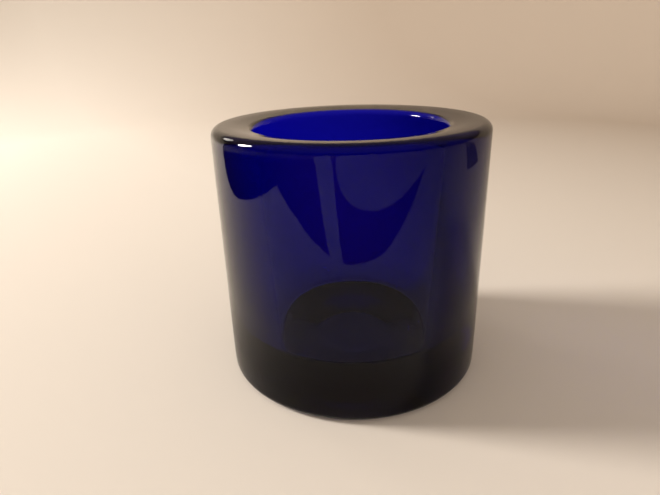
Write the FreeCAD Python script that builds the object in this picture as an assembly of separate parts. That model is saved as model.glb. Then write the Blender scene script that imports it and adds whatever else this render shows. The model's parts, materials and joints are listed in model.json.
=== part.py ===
"""Thick-walled glass tealight holder.

One closed solid of glass, turned about the Z axis: a straight-sided body with
a heavy base, a rim that falls away gently inwards, an open cavity that narrows
a little towards its seat, a shallow dish below the seat, and softly rounded
edges all over.  Millimetres, +Z up.
The origin is the centre of the plane that the holder stands on.
"""
import FreeCAD
import Part
import math
import os

# ---------------------------------------------------------------- driving sizes

BODY_HEIGHT = 60.0            # standing plane to the level outer part of the rim
BODY_DIAMETER = 63.0          # outside of the straight wall
BASE_THICKNESS = 6.0          # standing plane to the flat middle of the floor

CAVITY_MOUTH_DIAMETER = 44.5  # cavity wall where it meets the slope of the rim
CAVITY_SEAT_DIAMETER = 40.0   # cavity wall at its foot, where the candle sits
DISH_DEPTH = 4.5              # flat middle of the floor up to the seat
DISH_FLAT_DIAMETER = 18.0     # flat middle of the floor

RIM_CREST_DIAMETER = 55.0     # level outer part of the rim meets its inward slope
RIM_LIP_DROP = 0.75           # fall of that slope as far as the cavity wall
RIM_CROWN_RADIUS = 25.0       # soft bend between the level part and the slope
RIM_OUTER_RADIUS = 2.0        # rounding from the rim down to the outside wall
RIM_INNER_RADIUS = 1.5        # rounding from the rim's slope down into the cavity
SEAT_CORNER_RADIUS = 1.5      # rounding between the cavity wall and the dish
DISH_BLEND_RADIUS = 6.0       # rounding between the slope of the dish and its flat
FOOT_EDGE_RADIUS = 2.0        # rounding between the outside wall and the foot

FOOT_RING_WIDTH = 6.5         # flat ring that the holder stands on
FOOT_HOLLOW_DEPTH = 0.6       # rise of the shallow domed hollow inside that ring

# --------------------------------------------------------------- derived values

BODY_RADIUS = BODY_DIAMETER / 2.0
MOUTH_RADIUS = CAVITY_MOUTH_DIAMETER / 2.0
MOUTH_HEIGHT = BODY_HEIGHT - RIM_LIP_DROP
CREST_RADIUS = RIM_CREST_DIAMETER / 2.0
SEAT_RADIUS = CAVITY_SEAT_DIAMETER / 2.0
SEAT_HEIGHT = BASE_THICKNESS + DISH_DEPTH
DISH_FLAT_RADIUS = DISH_FLAT_DIAMETER / 2.0
FOOT_HOLLOW_RADIUS = BODY_RADIUS - FOOT_EDGE_RADIUS - FOOT_RING_WIDTH


def point(radius, height):
    """A point of the section, which lies in the XZ plane."""
    return FreeCAD.Vector(radius, 0.0, height)


def line(start, end):
    """A straight edge of the section."""
    return Part.LineSegment(start, end).toShape()


def rounding(before, corner, after, radius):
    """Start, middle and end of the arc that rounds a corner of the outline."""
    back = (before - corner).normalize()
    on = (after - corner).normalize()
    half_angle = back.getAngle(on) / 2.0
    inward = (back + on).normalize()
    reach = radius / math.tan(half_angle)
    middle_reach = radius / math.sin(half_angle) - radius
    return corner + back * reach, corner + inward * middle_reach, corner + on * reach


def rounded_outline(corners):
    """Edges through (point, radius) corners; the first and last have no radius."""
    edges = []
    start = corners[0][0]
    for k in range(1, len(corners) - 1):
        corner, radius = corners[k]
        arc = rounding(corners[k - 1][0], corner, corners[k + 1][0], radius)
        edges.append(line(start, arc[0]))
        edges.append(Part.Arc(*arc).toShape())
        start = arc[2]
    edges.append(line(start, corners[-1][0]))
    return edges


def foot_hollow_arc():
    """The domed hollow under the base, from its crown on the axis to the ring."""
    chord = FOOT_HOLLOW_RADIUS
    rise = FOOT_HOLLOW_DEPTH
    dome_radius = (chord ** 2 + rise ** 2) / (2.0 * rise)
    half_angle = math.asin(chord / dome_radius) / 2.0
    centre_height = rise - dome_radius
    middle = point(
        dome_radius * math.sin(half_angle),
        centre_height + dome_radius * math.cos(half_angle),
    )
    return Part.Arc(point(0.0, rise), middle, point(chord, 0.0)).toShape()


def body_section():
    """The closed half section of the glass, from the underside round to the axis."""
    floor_centre = point(0.0, BASE_THICKNESS)
    outline = rounded_outline([
        (point(FOOT_HOLLOW_RADIUS, 0.0), None),
        (point(BODY_RADIUS, 0.0), FOOT_EDGE_RADIUS),
        (point(BODY_RADIUS, BODY_HEIGHT), RIM_OUTER_RADIUS),
        (point(CREST_RADIUS, BODY_HEIGHT), RIM_CROWN_RADIUS),
        (point(MOUTH_RADIUS, MOUTH_HEIGHT), RIM_INNER_RADIUS),
        (point(SEAT_RADIUS, SEAT_HEIGHT), SEAT_CORNER_RADIUS),
        (point(DISH_FLAT_RADIUS, BASE_THICKNESS), DISH_BLEND_RADIUS),
        (floor_centre, None),
    ])
    axis_edge = line(floor_centre, point(0.0, FOOT_HOLLOW_DEPTH))
    return Part.Wire(Part.__sortEdges__([foot_hollow_arc()] + outline + [axis_edge]))


def glass_body():
    """The whole holder: its section turned once round the Z axis."""
    section = Part.Face(body_section())
    axis_point = FreeCAD.Vector(0.0, 0.0, 0.0)
    axis_direction = FreeCAD.Vector(0.0, 0.0, 1.0)
    return section.revolve(axis_point, axis_direction, 360.0)


def main():
    solid = glass_body()
    if not solid.isValid() or solid.Volume <= 0.0:
        raise ValueError("the glass body is not a valid solid")
    os.makedirs("parts", exist_ok=True)
    solid.exportStep("parts/glass_body.step")
    print("glass_body: volume %.1f mm3" % solid.Volume)


main()
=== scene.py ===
"""Thick-walled cobalt glass tealight holder: glass, stage, light and camera."""
import json
import math
from functools import partial

import bpy
from bpy.props import FloatProperty, FloatVectorProperty, IntProperty, PointerProperty
from bpy.types import Operator, Panel, PropertyGroup
from mathutils import Matrix, Vector


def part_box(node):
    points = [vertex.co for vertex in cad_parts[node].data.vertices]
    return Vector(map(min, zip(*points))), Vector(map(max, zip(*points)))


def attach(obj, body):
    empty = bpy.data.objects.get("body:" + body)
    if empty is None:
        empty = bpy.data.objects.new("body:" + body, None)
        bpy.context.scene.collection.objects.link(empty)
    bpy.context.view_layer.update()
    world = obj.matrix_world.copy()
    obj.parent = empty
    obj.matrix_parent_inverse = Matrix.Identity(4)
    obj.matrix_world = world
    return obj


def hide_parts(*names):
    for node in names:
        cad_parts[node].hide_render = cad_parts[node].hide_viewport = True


bl_info = {
    "name": "Tealight Holder",
    "version": (1, 0, 0),
    "blender": (4, 5, 0),
    "location": "3D View > Sidebar > Holder",
    "description": "Builds a thick-walled cobalt glass tealight holder and its stage",
    "category": "Add Mesh",
}

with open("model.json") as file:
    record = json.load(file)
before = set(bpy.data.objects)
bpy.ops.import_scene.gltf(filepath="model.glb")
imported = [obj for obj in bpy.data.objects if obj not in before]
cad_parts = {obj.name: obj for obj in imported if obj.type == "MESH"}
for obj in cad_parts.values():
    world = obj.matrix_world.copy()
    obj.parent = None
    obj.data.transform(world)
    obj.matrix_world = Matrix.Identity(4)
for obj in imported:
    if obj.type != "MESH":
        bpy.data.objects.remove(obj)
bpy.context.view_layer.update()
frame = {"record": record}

MM = 0.001
FULL_TURN = 2.0 * math.pi
QUARTER_TURN = math.pi / 2.0

# ------------------------------------------------------- sizes from the CAD frame

MOUNTS = {mount["name"]: mount for mount in frame["record"]["mounts"]}
GLASS_LOW, GLASS_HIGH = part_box("glass_body")
BODY_HEIGHT = GLASS_HIGH[2] - GLASS_LOW[2]
BODY_RADIUS = (GLASS_HIGH[0] - GLASS_LOW[0]) / 2.0
SEAT_RADIUS = MOUNTS["candle_cavity"]["dims"]["r_mm"] * MM
SEAT_HEIGHT = MOUNTS["candle_cavity"]["pos_m"][2]
CAVITY_FLOOR = MOUNTS["cavity_floor"]["pos_m"][2]

# -------------------------------------------------- faint marks of pressed glass

FLOW_LINE_WIDTH = 1.2 * MM
FLOW_LINE_STRETCH = 0.04
FLOW_LINE_HEIGHT = 0.004 * MM
RIPPLE_LENGTH = 14.0 * MM
RIPPLE_STRETCH = 0.35
RIPPLE_EASE = 10.0 * MM
WELD_DISTANCE = 0.0005 * MM
BUBBLE_RADIUS = 0.1 * MM
BUBBLE_SPREAD = 1.8 * MM
BUBBLE_HEIGHTS = (0.12, 0.9)
BUBBLE_SCALES = (1.0, 2.2)

# ---------------------------------------- the sheet as the glass shows it, in metres

EDGE_SOFTNESS = 0.002

# The front edge is square to the camera in the middle and nearer to it at both ends.
SHEET_FRONT = 0.1145
BEND_START = 0.05
BEND_SLOPE = 0.22
SLANT_START = 0.01
SLANT_SLOPE = 0.15
SLANT_LIMIT = 0.014

# The left edge curves away outwards beside the holder.
SHEET_LEFT = 0.186
CURVE_START = 0.02
CURVE_RATE = 7.5

# The second sheet has one rounded corner, and lies in less light.
SECOND_FRONT = 0.140
SECOND_CORNER_RATE = 0.004
SECOND_CORNER_SIDE = 0.08
SECOND_CORNER_LEAST = 0.001
SECOND_LIGHT = 0.85

# The strip widens as it comes towards the camera.
STRIP_RIGHT = 0.011
STRIP_RIGHT_SLOPE = 0.316
STRIP_LEFT = 0.031
STRIP_LEFT_SLOPE = 0.625

# A small dark thing lies on the sheet at the right.
THING_LEFT = 0.240
THING_FRONT = 0.028
THING_BACK = 0.104
THING_DARKNESS = 0.85

# Far off the table is pale again, though in less light.
FAR_START = 0.330
FAR_SOFTNESS = 0.02
FAR_LIGHT = 0.15

# Painted shade: the glass shows the right of the sheet darker, as in the holder's shadow, and a
# ring of it round the foot as well.
RIGHT_START = 0.03
RIGHT_SOFTNESS = 0.10
RIGHT_PAINTED_SHADOW = 0.3
RING_REACH = 0.06
RING_SOFTNESS = 0.02
RING_PAINTED_SHADE = 0.4

# The backdrop is tall behind the holder and low at its sides.
BACKDROP_START = 0.05
BACKDROP_LOW = 0.04
BACKDROP_SLOPE = 0.55
BACKDROP_SOFTNESS = 0.08

# ------------------------------------------------------- the sheet and light to the eye

# Painted shade: the paper's colour darkens towards the back and the right, standing in for the
# lamp's light falling off.
SHADE_SIDE_SHARE = 1.2
SHADE_START = 0.08
SHADE_SOFTNESS = 0.6

SHEET_FLAT_RADIUS = 0.45
SHEET_SWEEP_RADIUS = 0.20
SHEET_WALL_TOP = 0.80
SHEET_SIDES = 96
SHEET_CLEARANCE = 0.02 * MM

LAMP_PLACE = (-0.95, 0.087, 0.512)
LAMP_AIM = (0.0, 0.0, 0.03)
LAMP_SIZE = 0.25
WINDOW_AZIMUTH = -52.0
WINDOW_ELEVATION = 25.0
WINDOW_SIZE = 0.20
WINDOW_POWER = 0.5

# Parts of a direction of length 1 at which the ceiling and the table top fade in.
CEILING_START = 0.15
CEILING_FULL = 0.6
TABLE_START = -0.35
TABLE_FULL = -0.95


def linear(hex_colour):
    """An sRGB hex value as linear red, green and blue."""
    def channel(pair):
        value = int(pair, 16) / 255.0
        if value <= 0.04045:
            return value / 12.92
        return ((value + 0.055) / 1.055) ** 2.4

    return tuple(channel(hex_colour[k:k + 2]) for k in (1, 3, 5))


# ------------------------------------------------------------- what a user changes

class HolderGlassSettings(PropertyGroup):
    """Sizes and finish of the glass."""

    rim_outer_radius: FloatProperty(
        name="Rim Outer Radius", description="Rounding from the rim to the outside wall",
        default=2.0 * MM, subtype="DISTANCE", unit="LENGTH")
    rim_inner_radius: FloatProperty(
        name="Rim Inner Radius", description="Rounding from the rim's slope into the cavity",
        default=1.5 * MM, subtype="DISTANCE", unit="LENGTH")
    rim_crest_radius: FloatProperty(
        name="Rim Crest Radius", description="Where the rim starts to fall away inwards",
        default=27.5 * MM, subtype="DISTANCE", unit="LENGTH")
    rim_crown_radius: FloatProperty(
        name="Rim Crown Radius", description="Soft bend from the level rim into its slope",
        default=25.0 * MM, subtype="DISTANCE", unit="LENGTH")
    rim_lip_drop: FloatProperty(
        name="Rim Lip Drop", description="Fall of the rim's slope as far as the cavity wall",
        default=0.75 * MM, subtype="DISTANCE", unit="LENGTH")
    mouth_radius: FloatProperty(
        name="Mouth Radius", description="Cavity wall where it meets the slope of the rim",
        default=22.25 * MM, subtype="DISTANCE", unit="LENGTH")
    seat_corner_radius: FloatProperty(
        name="Seat Corner Radius", description="Rounding between the cavity wall and the dish",
        default=1.5 * MM, subtype="DISTANCE", unit="LENGTH")
    dish_flat_radius: FloatProperty(
        name="Dish Flat Radius", description="Flat middle of the cavity's floor",
        default=9.0 * MM, subtype="DISTANCE", unit="LENGTH")
    dish_blend_radius: FloatProperty(
        name="Dish Blend Radius", description="Rounding between the dish's slope and its flat",
        default=6.0 * MM, subtype="DISTANCE", unit="LENGTH")
    foot_radius: FloatProperty(
        name="Foot Edge Radius", description="Rounding between the outside wall and the foot",
        default=2.0 * MM, subtype="DISTANCE", unit="LENGTH")
    foot_ring_width: FloatProperty(
        name="Foot Ring Width", description="Flat ring that the holder stands on",
        default=6.5 * MM, subtype="DISTANCE", unit="LENGTH")
    foot_hollow_depth: FloatProperty(
        name="Foot Hollow Depth", description="Rise of the domed hollow inside the foot ring",
        default=0.6 * MM, subtype="DISTANCE", unit="LENGTH")
    segments: IntProperty(
        name="Segments", description="Faces round the turned body", default=384, min=48)
    ripple_height: FloatProperty(
        name="Ripple Height", description="How far the surface of the pressed glass wanders",
        default=0.015 * MM, subtype="DISTANCE", unit="LENGTH")
    seed_bubbles: IntProperty(
        name="Seed Bubbles", description="Tiny air bubbles left in the glass", default=9, min=0)
    tint: FloatVectorProperty(
        name="Tint", description="Colour that the glass lets through", subtype="COLOR",
        size=3, min=0.0, max=1.0, default=(0.03, 0.02, 0.85))
    density: FloatProperty(
        name="Density", description="Absorption of the glass for each metre of path",
        default=600.0, min=0.0)
    ior: FloatProperty(name="IOR", description="Refractive index of the glass", default=1.52)


class HolderStageSettings(PropertyGroup):
    """Paper sheet, light and camera."""

    paper: FloatVectorProperty(
        name="Paper", description="Colour of the sheet that the holder stands on",
        subtype="COLOR", size=3, min=0.0, max=1.0, default=linear("#F2EDE6"))
    # Painted shade: the sheet is mixed towards this darker colour at its back and right,
    # standing in for the lamp's light falling off.
    backdrop: FloatVectorProperty(
        name="Backdrop", description="Duller colour of the sheet at its back and right",
        subtype="COLOR", size=3, min=0.0, max=1.0, default=linear("#CBBFB2"))
    room: FloatVectorProperty(
        name="Room", description="Dim room past the sheet, which only the glass shows",
        subtype="COLOR", size=3, min=0.0, max=1.0, default=linear("#2A1C18"))
    table: FloatVectorProperty(
        name="Table", description="Reddish wood past the sheet, which only the glass shows",
        subtype="COLOR", size=3, min=0.0, max=1.0, default=linear("#7C4444"))
    ceiling: FloatVectorProperty(
        name="Ceiling", description="Paler ceiling of the room, which only the glass shows",
        subtype="COLOR", size=3, min=0.0, max=1.0, default=linear("#8C7A9A"))
    lamp_power: FloatProperty(
        name="Lamp Power", description="Power of the table lamp", default=11.5,
        subtype="POWER", unit="POWER")
    fill: FloatProperty(
        name="Fill", description="Strength of the soft light from all round", default=0.28)
    camera_distance: FloatProperty(
        name="Camera Distance", description="From the holder's axis, level",
        default=117.2 * MM, subtype="DISTANCE", unit="LENGTH")
    camera_height: FloatProperty(
        name="Camera Height", description="Above the plane that the holder stands on",
        default=76.0 * MM, subtype="DISTANCE", unit="LENGTH")
    camera_tilt: FloatProperty(
        name="Camera Tilt", description="How far the camera looks down",
        default=math.radians(22.1), subtype="ANGLE", unit="ROTATION")
    camera_turn: FloatProperty(
        name="Camera Turn", description="How far the camera looks to the left",
        default=math.radians(2.66), subtype="ANGLE", unit="ROTATION")
    camera_roll: FloatProperty(
        name="Camera Roll", description="How far the camera leans to its right",
        default=math.radians(1.81), subtype="ANGLE", unit="ROTATION")
    lens: FloatProperty(
        name="Lens", description="Focal length in millimetres on a 36 mm wide sensor",
        default=27.27)


# ------------------------------------------------------------------ small helpers

def add_node(tree, kind, settings=None, inputs=None):
    """Add a node; an input value that is a socket is linked, any other is set."""
    node = tree.nodes.new(kind)
    for name, value in (settings or {}).items():
        setattr(node, name, value)
    for key, value in (inputs or {}).items():
        if isinstance(value, bpy.types.NodeSocket):
            tree.links.new(value, node.inputs[key])
        else:
            node.inputs[key].default_value = value
    return node


def new_material(name):
    """An empty node material and its tree."""
    material = bpy.data.materials.new(name)
    material.use_nodes = True
    material.node_tree.nodes.clear()
    return material, material.node_tree


def link_object(name, data):
    """A new object at the origin, in the scene."""
    piece = bpy.data.objects.new(name, data)
    bpy.context.scene.collection.objects.link(piece)
    return piece


def arithmetic(tree, operation, *values):
    """One step of arithmetic in a node tree, as the socket of its result."""
    return add_node(tree, "ShaderNodeMath", {"operation": operation},
                    dict(enumerate(values))).outputs[0]


def goes_past(tree, value, limit, soft=EDGE_SOFTNESS):
    """From 0 to 1 as a value goes past its limit."""
    over = arithmetic(tree, "DIVIDE", arithmetic(tree, "SUBTRACT", value, limit), soft)
    return arithmetic(tree, "MINIMUM", arithmetic(tree, "MAXIMUM", over, 0.0), 1.0)


def beyond(tree, value, start):
    """How far a value is past its start, and 0 before it."""
    return arithmetic(tree, "MAXIMUM", arithmetic(tree, "SUBTRACT", value, start), 0.0)


def seen_by_glass(tree):
    """1 for a ray that has met the glass, and 0 for one straight from the eye."""
    light_path = add_node(tree, "ShaderNodeLightPath").outputs
    return arithmetic(
        tree, "MAXIMUM", light_path["Is Glossy Ray"], light_path["Is Transmission Ray"])


# ------------------------------------------------------------------ glass material

def cobalt_glass(settings):
    """Cobalt-coloured soda-lime glass, pressed in a mould and fire-polished.

    The flame leaves a bright, smooth skin, so reflections are crisp; the mould
    leaves faint upright flow lines in it, which break up the edges of what the
    walls reflect.  The colour sits in the glass itself and deepens with its
    thickness, from bright blue in a thin edge to black through the base.
    """
    material, tree = new_material("cobalt_glass_fire_polished")
    place = add_node(tree, "ShaderNodeTexCoord").outputs["Object"]
    upright = add_node(tree, "ShaderNodeMapping", {}, {
        "Vector": place, "Scale": (1.0, 1.0, FLOW_LINE_STRETCH)})
    flow_lines = add_node(tree, "ShaderNodeTexNoise", {}, {
        "Vector": upright.outputs["Vector"], "Scale": 1.0 / FLOW_LINE_WIDTH, "Detail": 2.0})
    bump = add_node(tree, "ShaderNodeBump", {}, {
        "Strength": 0.25, "Distance": FLOW_LINE_HEIGHT,
        "Height": flow_lines.outputs["Fac"]})
    # With this tint the skin mirrors less than bare glass would.
    glass = add_node(tree, "ShaderNodeBsdfPrincipled", {}, {
        "Base Color": (1.0, 1.0, 1.0, 1.0), "Roughness": 0.0, "IOR": settings.ior,
        "Specular Tint": (0.36, 0.36, 0.36, 1.0),
        "Transmission Weight": 1.0, "Normal": bump.outputs["Normal"]})
    depth = add_node(tree, "ShaderNodeVolumeAbsorption", {}, {
        "Color": (*settings.tint, 1.0), "Density": settings.density})
    add_node(tree, "ShaderNodeOutputMaterial", {}, {
        "Surface": glass.outputs["BSDF"], "Volume": depth.outputs["Volume"]})
    return material


# ---------------------------------------------------------------------- glass body

def arc(centre, radius, start, end, steps):
    """Points of an arc of the section; angles run from outward towards up."""
    angles = [start + (end - start) * step / steps for step in range(steps + 1)]
    return [centre + Vector((math.cos(a), math.sin(a))) * radius for a in angles]


def straight(start, end, steps):
    """Points between two ends of a straight run, without the ends."""
    return [start.lerp(end, step / steps) for step in range(1, steps)]


def rounding(before, corner, after, radius, steps):
    """Points of the arc that rounds a corner of the section."""
    back = (before - corner).normalized()
    on = (after - corner).normalized()
    half_angle = back.angle(on) / 2.0
    centre = corner + (back + on).normalized() * radius / math.sin(half_angle)
    from_centre = corner + back * radius / math.tan(half_angle) - centre
    to_centre = corner + on * radius / math.tan(half_angle) - centre
    turn = from_centre.angle_signed(to_centre)
    start = math.atan2(from_centre.y, from_centre.x)
    # angle_signed counts clockwise turns as positive.
    return arc(centre, radius, start, start - turn, steps)


def glass_section(settings):
    """Half section of the glass, from the axis underneath to the cavity floor."""
    hollow_radius = BODY_RADIUS - settings.foot_radius - settings.foot_ring_width
    rise = settings.foot_hollow_depth
    dome_radius = (hollow_radius ** 2 + rise ** 2) / (2.0 * rise)
    dome_edge = QUARTER_TURN - math.asin(hollow_radius / dome_radius)
    points = arc(Vector((0.0, rise - dome_radius)), dome_radius, QUARTER_TURN, dome_edge, 16)
    # Each corner: place, rounding, steps round it and steps along the run before it.
    corners = (
        (Vector((hollow_radius, 0.0)), 0.0, 0, 0),
        (Vector((BODY_RADIUS, 0.0)), settings.foot_radius, 16, 3),
        (Vector((BODY_RADIUS, BODY_HEIGHT)), settings.rim_outer_radius, 20, 36),
        (Vector((settings.rim_crest_radius, BODY_HEIGHT)), settings.rim_crown_radius, 8, 1),
        (Vector((settings.mouth_radius, BODY_HEIGHT - settings.rim_lip_drop)),
         settings.rim_inner_radius, 20, 4),
        (Vector((SEAT_RADIUS, SEAT_HEIGHT)), settings.seat_corner_radius, 14, 32),
        (Vector((settings.dish_flat_radius, CAVITY_FLOOR)), settings.dish_blend_radius, 10, 10),
        (Vector((0.0, CAVITY_FLOOR)), 0.0, 0, 0),
    )
    for (before, *_), (corner, radius, steps, run), (after, *_) in zip(
            corners, corners[1:], corners[2:]):
        bend = rounding(before, corner, after, radius, steps)
        points += straight(points[-1], bend[0], run) + bend
    centre = corners[-1][0]
    return points + straight(points[-1], centre, 8) + [centre]


def turned_body(tree, given):
    """The section turned about Z into one closed body, with a faint ripple."""
    math_node = partial(arithmetic, tree)
    # One grid column for each step round, one row for each point of the section.
    count = add_node(tree, "GeometryNodeAttributeDomainSize", {"component": "MESH"}, {
        "Geometry": given["Geometry"]}).outputs["Point Count"]
    columns = math_node("ADD", given["Segments"], 1.0)
    grid = add_node(tree, "GeometryNodeMeshGrid", {}, {
        "Size X": 1.0, "Size Y": 1.0, "Vertices X": columns, "Vertices Y": count})
    index = add_node(tree, "GeometryNodeInputIndex").outputs[0]
    row = math_node("FLOORED_MODULO", index, count)
    column = math_node("FLOOR", math_node("DIVIDE", math_node("ADD", index, 0.5), count))
    section_point = add_node(tree, "GeometryNodeSampleIndex", {"data_type": "FLOAT_VECTOR"}, {
        "Geometry": given["Geometry"], "Index": row,
        "Value": add_node(tree, "GeometryNodeInputPosition").outputs[0]})
    section = add_node(tree, "ShaderNodeSeparateXYZ", {}, {
        "Vector": section_point.outputs["Value"]}).outputs
    angle = math_node("MULTIPLY", math_node("DIVIDE", column, given["Segments"]), FULL_TURN)
    cosine = math_node("COSINE", angle)
    sine = math_node("SINE", angle)

    # The ripple is read from a ring of noise, so that it meets itself at the seam.
    around = add_node(tree, "ShaderNodeCombineXYZ", {}, {
        "X": math_node("MULTIPLY", section["X"], cosine),
        "Y": math_node("MULTIPLY", section["X"], sine),
        "Z": math_node("MULTIPLY", section["Z"], RIPPLE_STRETCH)})
    wander = add_node(tree, "ShaderNodeTexNoise", {}, {
        "Vector": around.outputs["Vector"], "Scale": 1.0 / RIPPLE_LENGTH, "Detail": 0.0})
    offset = math_node("MULTIPLY", math_node("SUBTRACT", wander.outputs["Fac"], 0.5),
                       math_node("MULTIPLY", given["Ripple Height"], 2.0))
    # The ripple fades out towards the axis, so the poles stay true.
    eased = math_node("MULTIPLY", offset, math_node(
        "MINIMUM", math_node("DIVIDE", section["X"], RIPPLE_EASE), 1.0))
    radius = math_node("ADD", section["X"], eased)
    turned = add_node(tree, "ShaderNodeCombineXYZ", {}, {
        "X": math_node("MULTIPLY", radius, cosine),
        "Y": math_node("MULTIPLY", radius, sine), "Z": section["Z"]})
    body = add_node(tree, "GeometryNodeSetPosition", {}, {
        "Geometry": grid.outputs["Mesh"], "Position": turned.outputs["Vector"]})
    closed = add_node(tree, "GeometryNodeMergeByDistance", {}, {
        "Geometry": body.outputs["Geometry"], "Distance": WELD_DISTANCE})
    return closed.outputs["Geometry"]


def bubble_voids(tree, given):
    """Seed bubbles in the wall: voids, so their faces point into the air they hold."""
    math_node = partial(arithmetic, tree)

    def scatter(low, high, seed):
        return add_node(tree, "FunctionNodeRandomValue", {"data_type": "FLOAT"}, {
            "Min": low, "Max": high, "Seed": seed}).outputs[1]

    spots = add_node(tree, "GeometryNodePoints", {}, {"Count": given["Seed Bubbles"]})
    turn = scatter(0.0, FULL_TURN, 11)
    reach = math_node("ADD", given["Wall Middle"], scatter(-BUBBLE_SPREAD, BUBBLE_SPREAD, 12))
    height = math_node("MULTIPLY", given["Glass Height"], scatter(*BUBBLE_HEIGHTS, 13))
    spot = add_node(tree, "ShaderNodeCombineXYZ", {}, {
        "X": math_node("MULTIPLY", reach, math_node("COSINE", turn)),
        "Y": math_node("MULTIPLY", reach, math_node("SINE", turn)), "Z": height})
    placed = add_node(tree, "GeometryNodeSetPosition", {}, {
        "Geometry": spots.outputs[0], "Position": spot.outputs["Vector"]})
    ball = add_node(tree, "GeometryNodeMeshIcoSphere", {}, {
        "Radius": BUBBLE_RADIUS, "Subdivisions": 3})
    void = add_node(tree, "GeometryNodeFlipFaces", {}, {"Mesh": ball.outputs["Mesh"]})
    bubbles = add_node(tree, "GeometryNodeInstanceOnPoints", {}, {
        "Points": placed.outputs["Geometry"], "Instance": void.outputs["Mesh"],
        "Scale": scatter(*BUBBLE_SCALES, 14)})
    return bubbles.outputs["Instances"]


def turned_glass_tree():
    """Geometry nodes that turn a section about Z and leave ripples and bubbles in it."""
    tree = bpy.data.node_groups.new("turned_glass", "GeometryNodeTree")
    sockets = tree.interface
    sockets.new_socket("Geometry", in_out="INPUT", socket_type="NodeSocketGeometry")
    for name, kind in (
            ("Segments", "NodeSocketInt"), ("Ripple Height", "NodeSocketFloat"),
            ("Seed Bubbles", "NodeSocketInt"), ("Wall Middle", "NodeSocketFloat"),
            ("Glass Height", "NodeSocketFloat"), ("Glass", "NodeSocketMaterial")):
        sockets.new_socket(name, in_out="INPUT", socket_type=kind)
    sockets.new_socket("Geometry", in_out="OUTPUT", socket_type="NodeSocketGeometry")
    given = tree.nodes.new("NodeGroupInput").outputs
    body = turned_body(tree, given)
    bubbles = bubble_voids(tree, given)
    whole = add_node(tree, "GeometryNodeJoinGeometry")
    tree.links.new(bubbles, whole.inputs[0])
    tree.links.new(body, whole.inputs[0])
    real = add_node(tree, "GeometryNodeRealizeInstances", {}, {
        "Geometry": whole.outputs["Geometry"]})
    smooth = add_node(tree, "GeometryNodeSetShadeSmooth", {}, {
        "Geometry": real.outputs["Geometry"]})
    finished = add_node(tree, "GeometryNodeSetMaterial", {}, {
        "Geometry": smooth.outputs["Geometry"], "Material": given["Glass"]})
    add_node(tree, "NodeGroupOutput", {}, {0: finished.outputs["Geometry"]})
    return tree


def set_modifier_input(modifier, name, value):
    """Set a geometry nodes input by its socket's identifier."""
    for item in modifier.node_group.interface.items_tree:
        if item.item_type == "SOCKET" and item.in_out == "INPUT" and item.name == name:
            modifier[item.identifier] = value
            return
    raise ValueError("no input called " + name)


def build_glass(settings):
    """The holder's one piece of glass, as a plain closed mesh."""
    points = glass_section(settings)
    section_mesh = bpy.data.meshes.new("glass_section")
    section_mesh.from_pydata(
        [(radius, 0.0, height) for radius, height in points],
        [(k, k + 1) for k in range(len(points) - 1)], [])
    section = link_object("glass_section", section_mesh)
    modifier = section.modifiers.new("turn", "NODES")
    modifier.node_group = turned_glass_tree()
    glass = cobalt_glass(settings)
    for name, value in (
            ("Segments", settings.segments), ("Ripple Height", settings.ripple_height),
            ("Seed Bubbles", settings.seed_bubbles), ("Glass", glass),
            ("Wall Middle", (BODY_RADIUS + SEAT_RADIUS) / 2.0),
            ("Glass Height", BODY_HEIGHT)):
        set_modifier_input(modifier, name, value)
    graph = bpy.context.evaluated_depsgraph_get()
    mesh = bpy.data.meshes.new_from_object(section.evaluated_get(graph), depsgraph=graph)
    section.modifiers.remove(modifier)
    bpy.data.objects.remove(section)
    mesh.name = "glass_holder"
    piece = link_object("glass_holder", mesh)
    if not mesh.polygons:
        raise RuntimeError("the turned glass has no faces")
    return piece


class HOLDER_OT_glass(Operator):
    """Build the glass body in place of the CAD node"""

    bl_idname = "holder.glass"
    bl_label = "Glass Body"

    def execute(self, context):
        piece = build_glass(context.scene.holder_glass)
        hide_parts("glass_body")
        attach(piece, "root")
        return {"FINISHED"}


# --------------------------------------------------------------------------- stage

def front_gap(tree, side, depth):
    """The dark gap in front of the sheet, less the second sheet and the strip on it."""
    math_node = partial(arithmetic, tree)
    past = partial(goes_past, tree)
    forward = math_node("MULTIPLY", depth, -1.0)
    leftward = math_node("MULTIPLY", side, -1.0)
    bend = math_node("MULTIPLY", beyond(tree, side, BEND_START), BEND_SLOPE)
    slant = math_node("MULTIPLY", beyond(tree, leftward, SLANT_START), SLANT_SLOPE)
    nearer = math_node("ADD", bend, math_node("MINIMUM", slant, SLANT_LIMIT))
    gap = past(forward, math_node("ADD", nearer, SHEET_FRONT))
    corner = math_node("DIVIDE", SECOND_CORNER_RATE, math_node(
        "MAXIMUM", math_node("ADD", side, SECOND_CORNER_SIDE), SECOND_CORNER_LEAST))
    second = math_node(
        "MULTIPLY", past(forward, math_node("ADD", corner, SECOND_FRONT)), SECOND_LIGHT)
    across = math_node("SUBTRACT", forward, SHEET_FRONT)
    right = math_node("ADD", math_node("MULTIPLY", across, STRIP_RIGHT_SLOPE), STRIP_RIGHT)
    left = math_node("ADD", math_node("MULTIPLY", across, STRIP_LEFT_SLOPE), STRIP_LEFT)
    strip = math_node("MULTIPLY", past(leftward, right), past(left, leftward))
    covered = math_node("MAXIMUM", second, strip)
    return math_node("MULTIPLY", gap, math_node("SUBTRACT", 1.0, covered))


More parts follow.
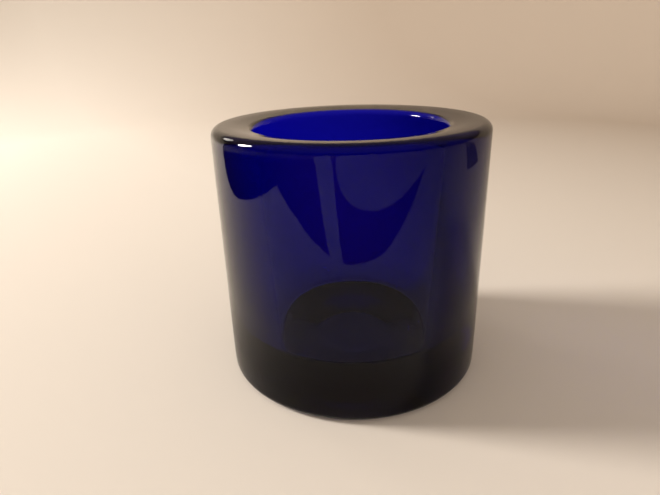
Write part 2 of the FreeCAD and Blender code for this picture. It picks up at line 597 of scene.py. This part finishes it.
def off_sheet(tree, side, depth):
    """Where the glass shows no sheet: past its two edges and at the dark thing."""
    math_node = partial(arithmetic, tree)
    past = partial(goes_past, tree)
    leftward = math_node("MULTIPLY", side, -1.0)
    back = beyond(tree, depth, CURVE_START)
    curve = math_node("MULTIPLY", math_node("MULTIPLY", back, back), CURVE_RATE)
    left = past(leftward, math_node("ADD", SHEET_LEFT, curve))
    dark = math_node("MAXIMUM", front_gap(tree, side, depth), left)
    thing = math_node("MULTIPLY", past(side, THING_LEFT), math_node(
        "MULTIPLY", past(depth, THING_FRONT), past(THING_BACK, depth)))
    return math_node("MAXIMUM", dark, math_node("MULTIPLY", thing, THING_DARKNESS))


def shown_darkness(tree, side, depth, height):
    """From 0 for lit paper to 1 for none, as the glass shows the sheet, with the holder's
    painted shadow in it.
    """
    math_node = partial(arithmetic, tree)
    past = partial(goes_past, tree)
    distance = math_node("SQRT", math_node(
        "ADD", math_node("MULTIPLY", side, side), math_node("MULTIPLY", depth, depth)))
    far = math_node("MULTIPLY", past(distance, FAR_START, FAR_SOFTNESS), FAR_LIGHT)
    dark = math_node("MULTIPLY", off_sheet(tree, side, depth), math_node("SUBTRACT", 1.0, far))
    # Painted shadow of the holder, which only the glass shows: on the right of the sheet and in
    # a ring round the foot.
    dim = math_node("MULTIPLY", past(side, RIGHT_START, RIGHT_SOFTNESS), RIGHT_PAINTED_SHADOW)
    dark = math_node("MAXIMUM", dark, dim)
    ring = math_node("MULTIPLY", past(distance, BODY_RADIUS),
                     past(RING_REACH, distance, RING_SOFTNESS))
    dark = math_node("MAXIMUM", dark, math_node("MULTIPLY", ring, RING_PAINTED_SHADE))
    behind = beyond(tree, depth, BACKDROP_START)
    top = math_node("ADD", BACKDROP_LOW, math_node("MULTIPLY", behind, BACKDROP_SLOPE))
    return math_node("MAXIMUM", dark, past(height, top, BACKDROP_SOFTNESS))


def paper_sheet(settings):
    """Pale uncoated paper, rolled smooth: matt, with no gloss of its own.

    The eye sees one plain sheet with painted shade, darker towards the back
    and the right where the lamp's light falls off.  The glass shows where the
    sheet ends in front, on the left and at the top, a second sheet and a pale
    strip past the gap in front, a small dark thing on the right, and painted
    shade on the right of the sheet and round the foot, as in the holder's shadow.
    """
    material, tree = new_material("paper_sheet_uncoated")
    math_node = partial(arithmetic, tree)
    place = add_node(tree, "ShaderNodeTexCoord").outputs["Object"]
    side, depth, height = add_node(
        tree, "ShaderNodeSeparateXYZ", {}, {"Vector": place}).outputs
    dark = shown_darkness(tree, side, depth, height)
    in_glass = seen_by_glass(tree)
    # Painted shade: the sheet's colour darkens towards the back and the right, in place of the
    # lamp's light falling off.
    slanted = math_node("ADD", depth, math_node("MULTIPLY", side, SHADE_SIDE_SHARE))
    shade = goes_past(tree, slanted, SHADE_START, SHADE_SOFTNESS)
    painted_falloff = add_node(tree, "ShaderNodeMix", {"data_type": "RGBA"}, {
        "Factor": shade, 6: (*settings.paper, 1.0), 7: (*settings.backdrop, 1.0)})
    paper = add_node(tree, "ShaderNodeBsdfDiffuse", {}, {"Color": painted_falloff.outputs[2]})
    gone = add_node(tree, "ShaderNodeBsdfTransparent")
    mixed = add_node(tree, "ShaderNodeMixShader", {}, {
        0: math_node("MULTIPLY", dark, in_glass), 1: paper.outputs[0], 2: gone.outputs[0]})
    add_node(tree, "ShaderNodeOutputMaterial", {}, {"Surface": mixed.outputs[0]})
    return material


def build_sheet(settings):
    """A round sheet that lies flat under the holder and sweeps up all round it."""
    below = -SHEET_CLEARANCE
    sweep_centre = Vector((SHEET_FLAT_RADIUS, below + SHEET_SWEEP_RADIUS))
    section = arc(sweep_centre, SHEET_SWEEP_RADIUS, -QUARTER_TURN, 0.0, 24)
    section += [Vector((SHEET_FLAT_RADIUS + SHEET_SWEEP_RADIUS, SHEET_WALL_TOP))]
    sides = SHEET_SIDES
    vertices = [(0.0, 0.0, below)]
    for radius, height in section:
        for k in range(sides):
            angle = FULL_TURN * k / sides
            vertices.append((radius * math.cos(angle), radius * math.sin(angle), height))
    faces = [(0, 1 + k, 1 + (k + 1) % sides) for k in range(sides)]
    for ring in range(len(section) - 1):
        low = 1 + ring * sides
        for k in range(sides):
            near, far = low + k, low + (k + 1) % sides
            faces.append((near, near + sides, far + sides, far))
    mesh = bpy.data.meshes.new("paper_sheet")
    mesh.from_pydata(vertices, [], faces)
    mesh.shade_smooth()
    mesh.materials.append(paper_sheet(settings))
    sheet = link_object("paper_sheet", mesh)
    sheet.visible_shadow = False


def add_lamp(name, place, aim, size, power, colour):
    """A round soft lamp that points at a spot."""
    data = bpy.data.lights.new(name, "AREA")
    data.shape = "DISK"
    data.size = size
    data.energy = power
    data.color = colour
    lamp = link_object(name, data)
    direction = Vector(aim) - Vector(place)
    lamp.matrix_world = (
        Matrix.Translation(place) @ direction.to_track_quat("-Z", "Y").to_matrix().to_4x4())


def towards(azimuth, elevation):
    """A direction from degrees right of the back and degrees above level."""
    turn, rise = math.radians(azimuth), math.radians(elevation)
    return Vector((
        math.sin(turn) * math.cos(rise), math.cos(turn) * math.cos(rise), math.sin(rise)))


def surroundings(tree, settings):
    """What the glass shows past the sheet: a table top, a dark room and its ceiling."""
    direction = add_node(tree, "ShaderNodeTexCoord").outputs["Generated"]
    aim = add_node(tree, "ShaderNodeSeparateXYZ", {}, {"Vector": direction}).outputs
    overhead = add_node(tree, "ShaderNodeMapRange", {"interpolation_type": "SMOOTHSTEP"}, {
        "Value": aim["Z"], "From Min": CEILING_START, "From Max": CEILING_FULL})
    # The table top lies below the level of the eye and catches light in front.
    in_front = add_node(tree, "ShaderNodeMapRange", {}, {
        "Value": aim["Y"], "From Min": TABLE_START, "From Max": TABLE_FULL})
    wood = arithmetic(tree, "MULTIPLY", arithmetic(tree, "LESS_THAN", aim["Z"], 0.0),
                      in_front.outputs["Result"])
    around = add_node(tree, "ShaderNodeMix", {"data_type": "RGBA"}, {
        "Factor": wood, 6: (*settings.room, 1.0), 7: (*settings.table, 1.0)})
    surround = add_node(tree, "ShaderNodeMix", {"data_type": "RGBA"}, {
        "Factor": overhead.outputs["Result"], 6: around.outputs[2],
        7: (*settings.ceiling, 1.0)})
    return add_node(tree, "ShaderNodeBackground", {}, {"Color": surround.outputs[2]})


def build_world(settings):
    """A soft glow from all round, in place of which the glass shows the room."""
    world = bpy.data.worlds.new("room_glow")
    world.use_nodes = True
    tree = world.node_tree
    tree.nodes.clear()
    glow = add_node(tree, "ShaderNodeBackground", {}, {
        "Color": (*linear("#FFF6EC"), 1.0), "Strength": settings.fill})
    room = surroundings(tree, settings)
    seen = add_node(tree, "ShaderNodeMixShader", {}, {
        0: seen_by_glass(tree), 1: glow.outputs[0], 2: room.outputs[0]})
    add_node(tree, "ShaderNodeOutputWorld", {}, {"Surface": seen.outputs[0]})
    bpy.context.scene.world = world


def build_light(settings):
    """A warm table lamp on the left, a weak window behind it, and the world."""
    warm = linear("#FFF4E8")
    rim_centre = Vector((0.0, 0.0, BODY_HEIGHT))
    window_place = rim_centre + towards(WINDOW_AZIMUTH, WINDOW_ELEVATION)
    add_lamp("table_lamp", LAMP_PLACE, LAMP_AIM, LAMP_SIZE, settings.lamp_power, warm)
    # Too weak to light the sheet: it only leaves a second glint on the rim.
    add_lamp("window", window_place, rim_centre, WINDOW_SIZE, WINDOW_POWER, warm)
    build_world(settings)


def build_camera(settings):
    """The camera stands close to the holder and looks down into it."""
    tilt, turn, roll = settings.camera_tilt, settings.camera_turn, settings.camera_roll
    forward = Vector((
        -math.sin(turn) * math.cos(tilt), math.cos(turn) * math.cos(tilt), -math.sin(tilt)))
    level_right = Vector((math.cos(turn), math.sin(turn), 0.0))
    level_up = level_right.cross(forward)
    right = level_right * math.cos(roll) - level_up * math.sin(roll)
    up = level_right * math.sin(roll) + level_up * math.cos(roll)
    axes = Matrix((right, up, -forward)).transposed().to_4x4()
    data = bpy.data.cameras.new("camera")
    data.sensor_width = 36.0
    data.lens = settings.lens
    data.clip_start = 0.001
    camera = link_object("camera", data)
    place = Vector((0.0, -settings.camera_distance, settings.camera_height))
    camera.matrix_world = Matrix.Translation(place) @ axes
    bpy.context.scene.camera = camera


class HOLDER_OT_stage(Operator):
    """Build the paper sheet, the lights and the camera"""

    bl_idname = "holder.stage"
    bl_label = "Stage"

    def execute(self, context):
        settings = context.scene.holder_stage
        build_sheet(settings)
        build_light(settings)
        build_camera(settings)
        context.scene.view_settings.view_transform = "Standard"
        return {"FINISHED"}


# ----------------------------------------------------------------- panel and start

class HOLDER_PT_panel(Panel):
    """Sidebar list of what can be built"""

    bl_idname = "HOLDER_PT_panel"
    bl_label = "Tealight Holder"
    bl_space_type = "VIEW_3D"
    bl_region_type = "UI"
    bl_category = "Holder"

    def draw(self, context):
        for group, operator in (
                (context.scene.holder_glass, HOLDER_OT_glass.bl_idname),
                (context.scene.holder_stage, HOLDER_OT_stage.bl_idname)):
            column = self.layout.column(align=True)
            for name in group.__annotations__:
                column.prop(group, name)
            column.operator(operator)


CLASSES = (
    HolderGlassSettings, HolderStageSettings,
    HOLDER_OT_glass, HOLDER_OT_stage, HOLDER_PT_panel,
)


def register():
    for cls in CLASSES:
        bpy.utils.register_class(cls)
    bpy.types.Scene.holder_glass = PointerProperty(type=HolderGlassSettings)
    bpy.types.Scene.holder_stage = PointerProperty(type=HolderStageSettings)


def unregister():
    del bpy.types.Scene.holder_stage
    del bpy.types.Scene.holder_glass
    for cls in reversed(CLASSES):
        bpy.utils.unregister_class(cls)


def main():
    register()
    bpy.ops.holder.stage()
    bpy.ops.holder.glass()


if __name__ == "__main__":
    main()
